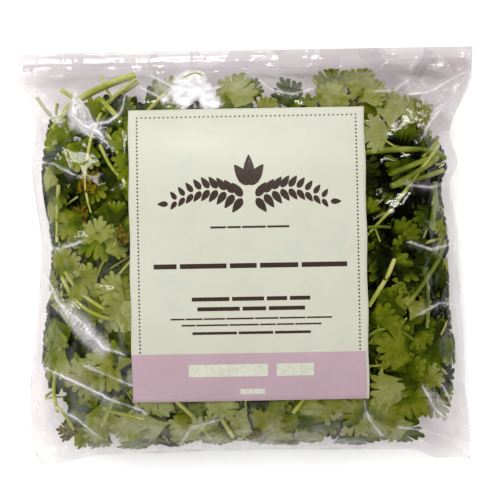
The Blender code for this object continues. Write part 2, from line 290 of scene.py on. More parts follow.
def join(name, pieces):
    clear_selection()
    for piece in pieces:
        piece.select_set(True)
    bpy.context.view_layer.objects.active = pieces[0]
    if len(pieces) > 1:
        bpy.ops.object.join()
    return named(name)


def smooth(piece):
    piece.data.polygons.foreach_set("use_smooth", [True] * len(piece.data.polygons))
    piece.data.update()
    return piece


def thicken(sheet, thickness):
    """Gives a sheet its thickness on its inner side."""
    wall = sheet.modifiers.new("wall", "SOLIDIFY")
    wall.thickness = thickness * MM
    wall.offset = -1
    apply(sheet, wall)
    return smooth(sheet)


def store(data, **values):
    """Keeps named values at the vertices for a material to read."""
    for name, value in values.items():
        data.attributes.new(name, "FLOAT", "POINT").data.foreach_set("value", value)


def finish(piece, material, *nodes, slot="coriander_green"):
    """Gives a piece its material and body, and hides the CAD nodes that it stands for."""
    piece.data.materials.clear()
    piece.data.materials.append(material)
    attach(piece, "root")
    if nodes:
        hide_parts(*nodes)


# ---- materials ----

def hex_colour(text):
    """An sRGB hex colour as linear red, green, blue and alpha."""
    parts = [int(text[i:i + 2], 16) / 255 for i in (1, 3, 5)]
    return tuple(p / 12.92 if p <= 0.04045 else ((p + 0.055) / 1.055) ** 2.4 for p in parts) + (1.0,)


def add_node(material, kind, *inputs, **given):
    """Adds a node, its kind followed by its operation if it has one.

    Inputs come in order or by name, i6 being number 6, and small letters name properties. An input is a
    value, an output, or a node whose first output it takes.
    """
    tree = material.node_tree
    kind, _, operation = kind.partition(" ")
    node = tree.nodes.new("ShaderNode" + kind)
    if operation:
        node.operation = operation
    for key, value in (*enumerate(inputs), *given.items()):
        if isinstance(key, str) and hasattr(node, key):
            setattr(node, key, value)
            continue
        if isinstance(key, str):
            key = int(key[1:]) if key[1:].isdigit() else key.replace("_", " ")
        if isinstance(value, bpy.types.Node):
            value = value.outputs[0]
        if isinstance(value, bpy.types.NodeSocket):
            tree.links.new(value, node.inputs[key])
        else:
            node.inputs[key].default_value = value
    return node


def new_material(name):
    """(an empty material, the places that its patterns follow, add_node for this material)."""
    material = bpy.data.materials.new(name)
    material.use_nodes = True
    material.node_tree.nodes.clear()
    add = functools.partial(add_node, material)
    return material, add("TexCoord").outputs["Object"], add


def set_ramp(node, *stops):
    """Gives a ramp its colour stops, as (place, hex colour)."""
    elements = node.color_ramp.elements
    while len(elements) > 1:
        elements.remove(elements[-1])
    for i, (place, colour) in enumerate(stops):
        stop = elements[0] if i == 0 else elements.new(place)
        stop.position = place
        stop.color = hex_colour(colour)
    return node


def output(material, shader):
    add_node(material, "OutputMaterial", shader)
    return material


def film_material():
    """Low-density polyethylene film, blown and clear: glossy, creased in flat facets, milky in places, with
    white painted highlights along its folds and on some facets.
    """
    m, place, add = new_material("blown_polyethylene_film")
    milky, crisp, fold_at, sharp, pale, grey = (
        add("Attribute", attribute_name=name).outputs["Fac"]
        for name in ("milk", "loose", "fold_offset", "fold_sharp", "pale", "grey"))
    streaks_at = add("Mapping", place, Scale=(1.0, 0.35, 1.0), Rotation=(0, 0, 0.7))
    streaks = add("TexNoise", streaks_at, Scale=1 / (9 * MM), Detail=5.0, Roughness=0.62)
    patchy = add("MapRange", streaks, 0.40, 0.60, 0.05, 1.95)
    haze = add("Math MULTIPLY", milky, patchy)
    # A crease gets a painted highlight, a white line where the film is folded hard, and a ridge beside it.
    wobble = add("TexNoise", place, Scale=1 / (5 * MM), Detail=2.0)
    moved = add("Math MULTIPLY_ADD", wobble, 1.6, fold_at)
    centred = add("Math SUBTRACT", moved, 0.8)
    away = add("Math ABSOLUTE", centred)
    line = add("MapRange", away, 0.15, 1.0, 0.42, 0.0)
    broken = add("MapRange", streaks, 0.36, 0.60, 0.25, 1.35)
    painted_glint_line = add("Math MULTIPLY", line, sharp)
    glints_and_haze = add("Math MULTIPLY_ADD", painted_glint_line, broken, haze)
    cloudy = add("MapRange", wobble, 0.38, 0.62, 0.55, 1.25)
    # Painted highlights: the pale facets are painted glare, and the crease lines painted glints.
    white = add("Math MULTIPLY_ADD", pale, cloudy, glints_and_haze, use_clamp=True)
    ridge = add("MapRange", away, 0.0, 2.6, 0.26, 0.0)
    ridge_there = add("Math MULTIPLY", ridge, sharp)
    # Crushed film bends along straight lines, so its relief is cones that meet in sharp edges.
    warp = add("TexNoise", place, Scale=1 / (30 * MM), Detail=1.0).outputs["Color"]
    pull = add("VectorMath MULTIPLY_ADD", warp, (22 * MM, 22 * MM, 0), place)
    facets = add("TexVoronoi", pull, Scale=1 / (17 * MM))
    small = add("TexVoronoi", pull, Scale=1 / (6 * MM))
    folded = add("Math MULTIPLY_ADD", small, 0.18, facets)
    height = add("Math MULTIPLY_ADD", folded, crisp, ridge_there)
    bump = add("Bump", Strength=1.0, Distance=3.4 * MM, Height=height)
    # Crushed film takes a little light away, a different share in each facet.
    facet_tone = add("SeparateColor", facets.outputs["Color"])
    uneven = add("MapRange", facet_tone, To_Min=0.70, To_Max=1.30)
    greyed = add("Math MULTIPLY", grey, uneven, use_clamp=True)
    dimmed = add("Mix", greyed, i6=hex_colour("#fefdfd"), i7=hex_colour("#e7e4e5"), data_type="RGBA")
    clear = add("BsdfTransparent", dimmed.outputs[2])
    milk = add("BsdfDiffuse", hex_colour("#dedbdc"))
    body = add("MixShader", white, clear, milk)
    gloss = add("BsdfAnisotropic", (1, 1, 1, 1), Roughness=0.08, Normal=bump, distribution="GGX")
    # A film reflects the same from both faces, so its Fresnel is Schlick's curve on the facing angle.
    facing = add("LayerWeight", 0.5, bump).outputs["Facing"]
    steep = add("Math POWER", facing, 5.0)
    reflect = add("Math MULTIPLY_ADD", steep, 0.6, 0.018)
    return output(m, add("MixShader", reflect, body, gloss))


def zip_material():
    """Extruded polyethylene zip tracks: thicker than the film, so they look whiter."""
    m, place, add = new_material("extruded_zip_polyethylene")
    along = add("Mapping", place, Scale=(0.25, 1.0, 1.0))
    cloudy = add("TexNoise", along, Scale=1 / (9 * MM), Detail=3.0)
    tone = set_ramp(add("ValToRGB", cloudy), (0.35, "#e9e4e7"), (0.65, "#f8f5f7"))
    milk = add("BsdfPrincipled", tone, Roughness=0.28, IOR=1.51)
    lit = add("MixShader", 0.3, milk, add("BsdfTranslucent", tone))
    clear = add("BsdfTransparent", hex_colour("#fefdfe"))
    return output(m, add("MixShader", 0.94, clear, lit))


def paper_material():
    """Coated label paper, printed all over: cream above and a mauve band below, with a soft sheen."""
    m, place, add = new_material("coated_label_paper")
    axes = add("SeparateXYZ", add("UVMap", uv_map="UVMap"))
    grain = add("TexNoise", place, Scale=1 / (1.1 * MM), Detail=3.0)
    damp = add("TexNoise", place, Scale=1 / (24 * MM), Detail=4.0, Roughness=0.6)
    mottle = add("Math MULTIPLY_ADD", grain, 0.35, damp)
    cream = set_ramp(add("ValToRGB", mottle), (0.45, "#b6b6a5"), (0.72, "#bcbbab"), (0.9, "#b3b8aa"))
    mauve = set_ramp(add("ValToRGB", mottle), (0.45, "#a88f98"), (0.72, "#ad939c"), (0.9, "#b39aa2"))
    band = add("Math LESS_THAN", axes.outputs["Y"], LABEL_BAND)
    inner = add("Math LESS_THAN", axes.outputs["X"], BAND_END)
    banded = add("Math MULTIPLY", band, inner)
    colour = add("Mix", banded, i6=cream, i7=mauve, data_type="RGBA").outputs[2]
    bump = add("Bump", Strength=0.12, Distance=0.2 * MM, Height=grain)
    return output(m, add("BsdfPrincipled", colour, Roughness=0.42, IOR=1.5, Normal=bump))


def ink_material(name, colour):
    """Printing ink on coated paper, with thin and thick patches."""
    m, place, add = new_material(name)
    patches = add("TexNoise", place, Scale=1 / (2.5 * MM), Detail=2.0)
    value = add("MapRange", patches, To_Min=0.8, To_Max=1.25)
    shade = add("HueSaturation", Value=value, Color=hex_colour(colour))
    return output(m, add("BsdfPrincipled", shade, Roughness=0.4, IOR=1.5))


def leaf_material():
    """Living coriander leaf: thin, soft and waxy, paler along the veins, lit through from behind."""
    m, place, add = new_material("coriander_leaf")
    tint, wilt = (add("Attribute", attribute_name=name).outputs["Fac"] for name in ("tint", "wilt"))
    cells = add("TexNoise", place, Scale=1 / (2.4 * MM), Detail=5.0, Roughness=0.68)
    patches = add("TexNoise", place, Scale=1 / (13 * MM), Detail=2.0)
    shift = add("Math MULTIPLY_ADD", cells, 0.40, tint)
    wider = add("Math MULTIPLY_ADD", patches, 0.50, shift)
    toned = add("Math SUBTRACT", wider, 0.44)
    # The dark end of the ramp, down to nearly black, is painted shade for leaves that lie deep among the
    # others.
    colour = set_ramp(add("ValToRGB", toned), (0.0, "#0c0e02"), (0.2, "#283203"), (0.4, "#455504"),
                      (0.6, "#647308"), (0.75, "#82872a"), (0.9, "#98a05c"), (1.0, "#a5ab7c"))
    fan = add("SeparateXYZ", add("UVMap", uv_map="UVMap"))
    swing = add("Math SINE", fan)
    vein = add("MapRange", add("Math ABSOLUTE", swing), 0.0, 0.16, 0.30, 0.0)
    lightness = add("MapRange", toned, 0.1, 0.6)
    faint = add("Math MULTIPLY", vein, lightness)
    green = add("Mix", faint, i6=colour, i7=hex_colour("#8f9747"), data_type="RGBA").outputs[2]
    # A wilted leaf turns yellow-brown in patches.
    wilted = set_ramp(add("ValToRGB", cells), (0.42, "#1c1204"), (0.50, "#5c4a04"), (0.60, "#7e6e06"))
    shown = add("Mix", wilt, i6=green, i7=wilted, data_type="RGBA").outputs[2]
    bump = add("Bump", Strength=0.35, Distance=0.35 * MM, Height=cells)
    skin = add("BsdfPrincipled", shown, Roughness=0.5, IOR=1.42, Specular_IOR_Level=0.06, Normal=bump)
    return output(m, add("MixShader", 0.22, skin, add("BsdfTranslucent", shown)))


def stem_material(name, *tones):
    """Cut coriander stem: juicy and smooth, yellow-green or deep green."""
    m, place, add = new_material(name)
    blotches = add("TexNoise", place, Scale=1 / (14 * MM), Detail=3.0)
    fine = add("TexNoise", place, Scale=1 / (0.9 * MM), Detail=2.0)
    tone = add("Math MULTIPLY_ADD", fine, 0.25, blotches)
    colour = set_ramp(add("ValToRGB", tone), *zip((0.4, 0.6, 0.8), tones))
    bump = add("Bump", Strength=0.3, Distance=0.2 * MM, Height=fine)
    stem = add("BsdfPrincipled", colour, Roughness=0.36, IOR=1.42, Subsurface_Weight=0.12,
                    Subsurface_Radius=(1.0, 0.9, 0.4), Subsurface_Scale=0.8 * MM, Normal=bump)
    return output(m, stem)


# ---- the bag ----

# Facets painted white as glare, painted highlights where the film catches the light: (how milky, points round
# the facet).
GLARE_FACETS = (
    (0.80, ((-46, 89), (-41, 94), (-38, 102), (-33, 105), (-25, 104), (-22, 97), (-15, 86), (-22, 83.5),
            (-26, 93), (-35, 85), (-42, 92.5))),
    (0.34, ((-96, 92), (-99, 82), (-98, 75), (-90, 72), (-81, 70), (-88, 78))),
    (0.22, ((-107, -27), (-100, -25), (-88, -39), (-79, -50), (-82, -54), (-94, -44))),
    (0.16, ((-126, 99), (-119, 97), (-108, 84), (-104, 76), (-113, 82), (-122, 92))),
    (0.16, ((-66, -64), (-40, -70), (-41, -74), (-68, -69))),
    (0.14, ((88, 100), (100, 98), (112, 88), (104, 84), (94, 91))),
    (0.16, ((-50, 101), (-40, 99), (-32, 92), (-38, 89), (-49, 95))),
    (0.14, ((104, -96), (116, -99), (108, -84), (101, -78))),
)


def inside_line(x, y, points):
    """True at each place that is inside the closed line through points."""
    inside = np.zeros(np.shape(x), bool)
    for (x0, y0), (x1, y1) in zip(points, points[1:] + points[:1]):
        crosses = (y0 > y) != (y1 > y)
        inside ^= crosses & (x < x0 + (y - y0) / (y1 - y0 + (y1 == y0)) * (x1 - x0))
    return inside


def painted_glare(x, y):
    """How white the film is painted at its glare facets, as painted highlights."""
    pale = np.zeros(np.shape(x))
    for amount, points in GLARE_FACETS:
        outside = np.where(inside_line(x, y, points), 0.0, line_distance(x, y, points + points[:1]))
        pale = np.maximum(pale, amount * (1 - ease(0, 2.5, outside)))
    return pale


def milk_and_crease_glints(x, y, u, upper):
    """How milky the film is: milkier low on the left and at its welds, with painted highlights along its
    creases.
    """
    left = ease(-0.1, 0.9, -x / 110) * ease(-0.35, 0.8, -y / 110)
    low = ease(78, 98, -y) * (1 - ease(50, 95, x))
    milk = 0.030 * np.maximum(left, low) + 0.02 * ease(0.955, 0.99, np.abs(u))
    # Painted highlights: white along each crease of the upper film.
    for points, width, height in CREASES if upper else ():
        milk += 0.05 * abs(height) / 2 * np.exp(-(line_distance(x, y, points) / (1.1 * width)) ** 2)
    return milk


def greyness(v, x, y):
    """How much light the film takes: most in the band above the zip and in the right corner of the mouth."""
    band = ease(0.955, 0.985, v)
    corner = ease(60, 112, x) * ease(50, 95, y)
    return 0.03 + 0.22 * band + 0.34 * corner * (1 - band) + 0.12 * ease(55, 95, y) + 0.14 * ease(-20, 90, x)


def looseness(u, v, x, y, upper):
    """How crushed the film is: most at its corners and along its edges, least over the full middle."""
    edge = np.exp(-(1 - np.abs(u)) / 0.14)
    ends = np.maximum(np.exp(-v / 0.10), ease(0.80, 0.93, v))
    loose = np.clip(0.30 + 0.7 * np.maximum(edge, ends), 0, 1) * (1 - 0.75 * ease(0.95, 0.965, v))
    return loose * (1 - label_share(x, y)) if upper else loose


FILM_COLUMNS = 130
FILM_ROWS = 120             # for each of the two films
FILM_WALL = 0.08
SHUT = 0.0001               # how near the fold and the welds the two films are one


def build_film():
    """The sack of film: a sheet folded at the bottom and welded at both sides, open at the mouth."""
    film = add_grid("clear_bag", FILM_COLUMNS, 2 * FILM_ROWS, 2)
    across, round_fold, _ = (places_of(film) * MM).T
    u = 0.72 * across + 0.28 * np.sin(across * math.pi / 2)
    v = np.abs(round_fold)
    v = 0.8 * v + 0.2 * (1 - np.cos(v * math.pi)) / 2
    x, y = bag_place(u, v)
    top = round_fold > 0
    z = np.where(top, film_top(x, y), film_under(x, y))
    z = np.where((v < SHUT) | (np.abs(across) > 1 - SHUT), seal_height(v), z)
    move_vertices(film, np.column_stack((x, y, z)))
    offset, sharp = nearest_fold(x, y)
    # The pale and milk values carry painted highlights: glare on some facets and white along the creases.
    store(film.data, milk=np.where(top, milk_and_crease_glints(x, y, u, True), milk_and_crease_glints(x, y, u, False)),
          loose=np.where(top, looseness(u, v, x, y, True), looseness(u, v, x, y, False)),
          grey=greyness(v, x, y), pale=np.where(top, painted_glare(x, y), 0), fold_offset=offset,
          fold_sharp=np.where(top, sharp, 0))
    bpy.ops.object.mode_set(mode="EDIT")
    bpy.ops.mesh.select_all(action="SELECT")
    bpy.ops.mesh.remove_doubles(threshold=0.00001)
    bpy.ops.mesh.normals_make_consistent(inside=False)
    bpy.ops.object.mode_set(mode="OBJECT")
    return thicken(film, FILM_WALL)


# ---- the label ----

LABEL_LIFT = 0.45           # the label over the film, and its print over the label
PRINT_LIFT = 0.08
PAPER = 0.15
GARLAND_Y = 33
GARLAND_PAIRS = 9
WORD_LINES = ((16.5, 44, 1.1, 4), (-5, 108, 2.7, 5), (-23.5, 66, 2.2, 4), (-29.0, 60, 2.2, 3),
              (-34.5, 90, 0.9, 7), (-38.0, 78, 0.9, 6), (-42.5, 66, 1.5, 3))     # (y, width, height, words)


def label_height(x, y):
    return film_top(x, y) + LABEL_LIFT


def build_label():
    label = add_grid("paper_label", 66, 82, 1)
    across, along, _ = (places_of(label) * MM).T
    x = LABEL_CENTRE[0] + across * LABEL_WIDTH
    y = LABEL_CENTRE[1] + along * LABEL_LENGTH
    x += 0.25 * np.sin(y / 6.5) * np.abs(across) * 2
    move_vertices(label, np.column_stack((x, y, label_height(x, y))))
    return thicken(label, PAPER)


def print_on_label(name, marks):
    """Joins printed marks and lays them on the label."""
    printed = join(name, marks)
    x, y, _ = places_of(printed).T
    move_vertices(printed, np.column_stack((x, y, label_height(x, y) + PRINT_LIFT)))
    return printed


def dot_row(start, end, pitch, radius):
    """Printed dots in a row: one dot, repeated."""
    clear_selection()
    bpy.ops.mesh.primitive_circle_add(vertices=8, radius=radius * MM, fill_type="NGON",
                                      location=(start[0] * MM, start[1] * MM, 0))
    bpy.ops.object.transform_apply(location=True, rotation=True, scale=True)
    dot = named("dots")
    row = dot.modifiers.new("row", "ARRAY")
    row.count = round(math.dist(start, end) / pitch) + 1
    row.use_relative_offset = False
    row.use_constant_offset = True
    row.constant_offset_displace = tuple((e - s) / (row.count - 1) * MM for s, e in zip(start, end)) + (0,)
    apply(dot, row)
    return dot


def word_bars(x, y, width, height, words):
    """A line of plain bars as long as words, centred at x, cut across so that they can follow the label."""
    draw = random.Random(int(y * 10) + 7)
    lengths = [draw.uniform(0.6, 1.6) for _ in range(words)]
    gap = height * 0.7
    unit = (width - gap * (words - 1)) / sum(lengths)
    bars = []
    at = x - width / 2
    for length in lengths:
        long = length * unit
        bar = add_grid("bar", max(1, round(long / 6)), 1, 1)
        bar.location = ((at + long / 2) * MM, y * MM, 0)
        bar.scale = (long * MM, height * MM, 1)
        bpy.ops.object.transform_apply(location=True, rotation=True, scale=True)
        bars.append(bar)
        at += long + gap
    return bars


def leaf_mark(x, y, turn, length, width):
    """A printed leaf: a pointed oval."""
    clear_selection()
    bpy.ops.mesh.primitive_circle_add(vertices=16, radius=1, fill_type="TRIFAN")
    mark = named("leaf_mark")
    along, side, flat = (places_of(mark) * MM).T
    ahead = (along + 1) / 2 * length
    side = side * (1 - 0.45 * along) * (1 - np.abs(along) ** 3 * 0.3) * width / 2
    cos, sin = math.cos(turn), math.sin(turn)
    move_vertices(mark, np.column_stack((x + ahead * cos - side * sin, y + ahead * sin + side * cos, flat)))
    return mark


def build_print():
    """The label's print: a dotted frame, a plain garland of leaves and lines of bars."""
    left, right = (LABEL_CENTRE[0] + side * (LABEL_WIDTH / 2 - 4.8) for side in (-1, 1))
    top = LABEL_CENTRE[1] + LABEL_LENGTH / 2 - 4.5
    low = LABEL_CENTRE[1] + LABEL_LENGTH * (LABEL_BAND - 0.5) + 1.2
    marks = [dot_row((left, top), (right, top), 2.5, 0.48)]
    marks += [dot_row((x, top - 2), (x, low), 2.1, 0.52) for x in (left, right)]
    centre = LABEL_CENTRE[0] + 1
    for side, facing in ((-1, math.pi), (1, 0)):
        for i in range(GARLAND_PAIRS):
            x, y = centre + side * (4 + i * 4.6), GARLAND_Y + 5.0 * math.sin(i * 0.42)
            length, width = 9.5 - i * 0.5, 4.4 - i * 0.22
            for lean in (-1, 1):
                marks.append(leaf_mark(x, y + lean * 0.6, facing + side * lean * 0.95, length, width))
        end = GARLAND_Y + 5.0 * math.sin(GARLAND_PAIRS * 0.42)
        marks.append(leaf_mark(centre + side * 45.4, end, facing, 6, 3))
    for turn, length in ((-0.62, 14), (0.0, 17), (0.62, 14)):
        marks.append(leaf_mark(centre, GARLAND_Y + 7, math.pi / 2 + turn, length, 6.4))
    for line in WORD_LINES:
        marks += word_bars(centre, *line)
    pale_marks = word_bars(centre - 0.5, -63.5, 70, 7.0, 2) + word_bars(centre, -75.5, 14, 3.0, 1)
    return print_on_label("label_print_dark", marks), print_on_label("label_print_light", pale_marks)


# ---- where the CAD's sprigs lie ----
# A sprig is (start x, start y, heading in degrees, stem length, bend in degrees, layer, leaves), from its
# cut end to its tip. A leaf is (place along the stem from 0 to 1, side angle, petiole length). Layers
# 0 to 5 hang under the upper film, and layers 6 to 11 lie on the lower film, 6 being the lowest.

LAYERS = 6
FIRST_DEPTH = 3.2
LAYER_PITCH = 4.3
SPRIG_COUNT = 32
LEAF_RADIUS = 22.0
LEAF_CENTRE = 0.45
STEM_CLEAR = 5.0
LEAF_CLEAR = 7.0
ROOM_SPARE = 2.4
STEM_MARKS = 10
SEAL_GAP = 1.0
MOUTH_GAP = 3.7
SEAL_SHARE = 0.02
SPRIG_ROOM = (0.975, 0.015, 0.95)       # (share from the middle to a seal, least and greatest share upwards)
STEM_ROOM = (0.955, 0.03, 0.945)
CHOSEN_SPRIGS = (
    (-62, 101, 214, 80, 70, 0, ((1.0, 0, 5), (0.66, 62, 9))),
    (110, 62, 232, 92, -6, 0, ((1.0, 0, 5), (0.66, 62, 9))),
    (-10, -102, 120, 66, -20, 0, ((1.0, 0, 6),)),
    (-27, 93, 224, 30, -10, 2, ((1.0, 0, 6),)),
    (112, 12, 243, 92, -8, 1, ((1.0, 0, 6), (0.5, -66, 8))),
    (-105, -14, -26, 84, 10, 1, ((1.0, 0, 6),)),
    (-106, 81, -40, 82, -16, 1, ((1.0, 0, 6), (0.6, 58, 10))),
    (30, -94, 152, 80, 22, 3, ((1.0, 0, 6),)),
    (107, 46, 190, 80, -16, 2, ((1.0, 0, 6), (0.6, -62, 8))),
    (-80, 72, -40, 76, 12, 3, ((1.0, 0, 6), (0.62, 58, 10))),
    (-92, -78, 74, 66, 8, 2, ((1.0, 0, 6), (0.6, -56, 9))),
    (96, -66, 118, 80, -20, 3, ((1.0, 0, 6), (0.55, 60, 8))),
)


def stem_point(sprig, share):
    """(x, y, heading) at this share of the stem's length: the stem is an arc."""
    x, y, heading, length, bend = sprig[:5]
    heading, bend = math.radians(heading), math.radians(bend)
    if abs(bend) < 0.001:
        return x + math.cos(heading) * length * share, y + math.sin(heading) * length * share, heading
    radius = length / bend
    turned = heading + bend * share
    return (x + radius * (math.sin(turned) - math.sin(heading)),
            y - radius * (math.cos(turned) - math.cos(heading)), turned)


def petiole_ends(sprig, leaf):
    """The leaf's petiole: ((x, y) on the stem, (x, y) at the leaf's joint, its heading)."""
    along, side, length = leaf
    x, y, heading = stem_point(sprig, along)
    heading += math.radians(side)
    return (x, y), (x + math.cos(heading) * length, y + math.sin(heading) * length), heading


def cad_film(x, y):
    """Heights of the CAD's upper and lower film, which have no creases."""
    u, v = bag_share(x, y)
    inward = np.minimum((1 - np.minimum(np.abs(u), 1.0)) / SEAL_SHARE, 1.0)
    gap = (SEAL_GAP + (MOUTH_GAP - SEAL_GAP) * inward) / 2
    full = fullness(u, v)
    top = seal_height(v) + gap
    under = (seal_height(v) - gap) * (1 - UNDER_DROP * full)
    return top + (BAG_HEIGHT - top) * full, np.maximum(0.0, under)


def layer_height(layer, x, y):
    top, under = cad_film(x, y)
    depth = FIRST_DEPTH + LAYER_PITCH * (layer % LAYERS)
    return top - depth if layer < LAYERS else under + depth


def sprig_marks(sprig):
    """(places along the stem, middles of the leaves' circles)."""
    stem = [stem_point(sprig, i / STEM_MARKS)[:2] for i in range(STEM_MARKS + 1)]
    ahead = LEAF_RADIUS * LEAF_CENTRE
    leaves = []
    for leaf in sprig[6]:
        _, (x, y), heading = petiole_ends(sprig, leaf)
        leaves.append((x + math.cos(heading) * ahead, y + math.sin(heading) * ahead))
    return stem, leaves


def room_at(layer, places):
    x, y = np.array(places).T
    u, v = bag_share(x, y)
    top, under = cad_film(x, y)
    depth = FIRST_DEPTH + LAYER_PITCH * (layer % LAYERS)
    side, low, high = SPRIG_ROOM
    inside = (np.abs(u) <= side) & (v > low) & (v < high)
    return bool(np.all(inside & (top - under > 2 * depth + ROOM_SPARE)))


def near(first, second, distance):
    return any(math.dist(a, b) < distance for a in first for b in second)


def fits(layer, stem, leaves, placed):
    beside = LEAF_RADIUS + LEAF_CLEAR
    for other, other_stem, other_leaves in placed:
        if other == layer and (near(leaves, other_leaves, beside + LEAF_RADIUS)
                               or near(stem, other_leaves, beside) or near(leaves, other_stem, beside)
                               or near(stem, other_stem, STEM_CLEAR)):
            return False
    rim = [(x + LEAF_RADIUS * math.cos(turn), y + LEAF_RADIUS * math.sin(turn))
           for x, y in leaves for turn in (0.0, 1.05, 2.1, 3.14, 4.2, 5.25)]
    return room_at(layer, rim + stem)


def lay_out_sprigs():
    """The chosen sprigs, then others tried at random places in every layer until enough fit."""
    draw = random.Random(41)
    sprigs = list(CHOSEN_SPRIGS)
    placed = [(sprig[5], *sprig_marks(sprig)) for sprig in sprigs]
    while len(sprigs) < SPRIG_COUNT:
        layer = len(sprigs) % (2 * LAYERS)
        length = draw.uniform(56, 104)
        side = draw.choice((-1, 1)) * draw.uniform(50, 68)
        leaves = ((1.0, 0, 6), (0.6, side, 9)) if length > 74 else ((1.0, 0, 6),)
        sprig = (draw.uniform(-104, 104), draw.uniform(-98, 94), draw.uniform(0, 360), length,
                 draw.uniform(-34, 34), layer, leaves)
        stem, circles = sprig_marks(sprig)
        if fits(layer, stem, circles, placed):
            sprigs.append(sprig)
            placed.append((layer, stem, circles))
    return sprigs


# ---- coriander leaves and stems ----

STEM_RADIUS = 1.25
STEM_STEPS = 16
PETIOLE_RADIUS = 0.6
LEAF_REACH = 26.5
LOOSE_REACH = (19, 30)
TEETH = 9                   # rounded teeth round a leaflet, three to a lobe
TOOTH_STEPS = ((0.0, 0.0), (0.17, 0.93), (0.5, 1.0), (0.83, 0.93))   # (place, reach) over one tooth
BASE_POINT = (0.20, 0.12)   # the base runs out to here before it widens, as a share of the reach
MIDDLE = 0.44               # from a leaflet's joint to its middle, as a share of the reach
INNER_RING = 0.52           # the ring of corners half-way out from the middle
LEAFLET_KINDS = 5
FILM_TOUCH = 0.7            # least distance from a leaf to the film
PRESSED_PALE = 0.6          # how far a leaf that is pressed on the film turns pale
PRESSED_DEPTH = 1.5
PRESSED_TINT = 0.92
# Shares of the bag at which herbs are first held back, and which they never pass.
SIDE_LIMITS = (0.87, 0.965)
MOUTH_LIMITS = (0.930, 0.951)
FOLD_LIMITS = (-0.06, -0.008)


def leaflet_rim(kind):
    """(x, y) points round a leaflet of reach 1, from its base round its teeth: three lobes that fan out."""
    draw = random.Random(60 + kind)
    spread = math.radians(draw.uniform(88, 102))
    rim = [(0.0, 0.0), (BASE_POINT[0], -BASE_POINT[1])]
    for tooth in range(TEETH + 1):
        for place, rounded in TOOTH_STEPS if tooth < TEETH else TOOTH_STEPS[:1]:
            share = 2 * (tooth + place) / TEETH - 1
            turn = (share + draw.uniform(-0.012, 0.012)) * spread
            reach = (1 - MIDDLE) * (1 - 0.16 * abs(share) ** 1.5)
            if place > 0:
                reach *= rounded * (1.08 if tooth % 3 == 1 else 0.95) * draw.uniform(0.96, 1.04)
            elif tooth in (3, 6):
                reach *= draw.uniform(0.34, 0.54)
            else:
                reach *= draw.uniform(0.70, 0.82)
            rim.append((MIDDLE + reach * math.cos(turn), reach * math.sin(turn)))
    return rim + [BASE_POINT]


def build_leaflet(kind):
    """One flat leaflet: (places, faces, corner UVs). U is a multiple of pi at a vein, V is 1 at the rim."""
    rim = np.array(leaflet_rim(kind))
    count = len(rim)
    clear_selection()
    bpy.ops.mesh.primitive_circle_add(vertices=count, radius=1, fill_type="NGON")
    piece = named("leaflet")
    bpy.ops.object.mode_set(mode="EDIT")
    bpy.ops.mesh.select_all(action="SELECT")
    bpy.ops.mesh.inset(thickness=0.45, depth=0)
    bpy.ops.mesh.poke()
    bpy.ops.object.mode_set(mode="OBJECT")
    across, ahead, _ = (places_of(piece) * MM).T
    out = np.hypot(across, ahead)
    turn = np.degrees(np.arctan2(ahead, across)) % 360
    step = (np.round((turn - turn[0]) / (360 / count)) % count).astype(int)
    middle = np.array((MIDDLE, 0.0))
    share = np.where(out > 0.99, 1.0, np.where(out < 0.01, 0.0, INNER_RING))
    places = middle + (rim[step] - middle) * share[:, None]
    faces = [tuple(face.vertices) for face in piece.data.polygons]
    corners = []
    for face in faces:
        steps = [step[i] for i in face if share[i] > 0]
        wraps = max(steps) - min(steps) > count / 2
        lifted = {i: step[i] + (count if wraps and step[i] < count / 2 else 0) for i in face}
        mean = sum(lifted[i] for i in face if share[i] > 0) / len(steps)
        for i in face:
            at = lifted[i] if share[i] > 0 else mean
            corners.append((math.pi * ((at - 2) / len(TOOTH_STEPS) + 0.5), share[i]))
    bpy.data.objects.remove(piece)
    return places, faces, np.array(corners)


def soft_limit(value, start, limit):
    """The value, eased to a limit that it never passes, from a start below which it is unchanged."""
    room = limit - start
    return np.where(value > start, start + room * np.tanh((value - start) / room), value)


def keep_inside(places, touch):
    """Moves places that are outside the bag to just inside its film. Returns how hard each is pressed."""
    u, v = bag_share(places[:, 0], places[:, 1])
    u = np.sign(u) * soft_limit(np.abs(u), *SIDE_LIMITS)
    v = -soft_limit(-soft_limit(v, *MOUTH_LIMITS), *FOLD_LIMITS)
    x, y = bag_place(u, v)
    top = film_top(x, y) - touch
    low = film_under(x, y) + touch
    middle = (top + low) / 2
    top, low = np.maximum(top, middle), np.minimum(low, middle)
    z = np.clip(places[:, 2], low, top)
    pressed = np.clip(1 - (top - z) / PRESSED_DEPTH, 0, 1)
    return np.column_stack((x, y, z)), pressed


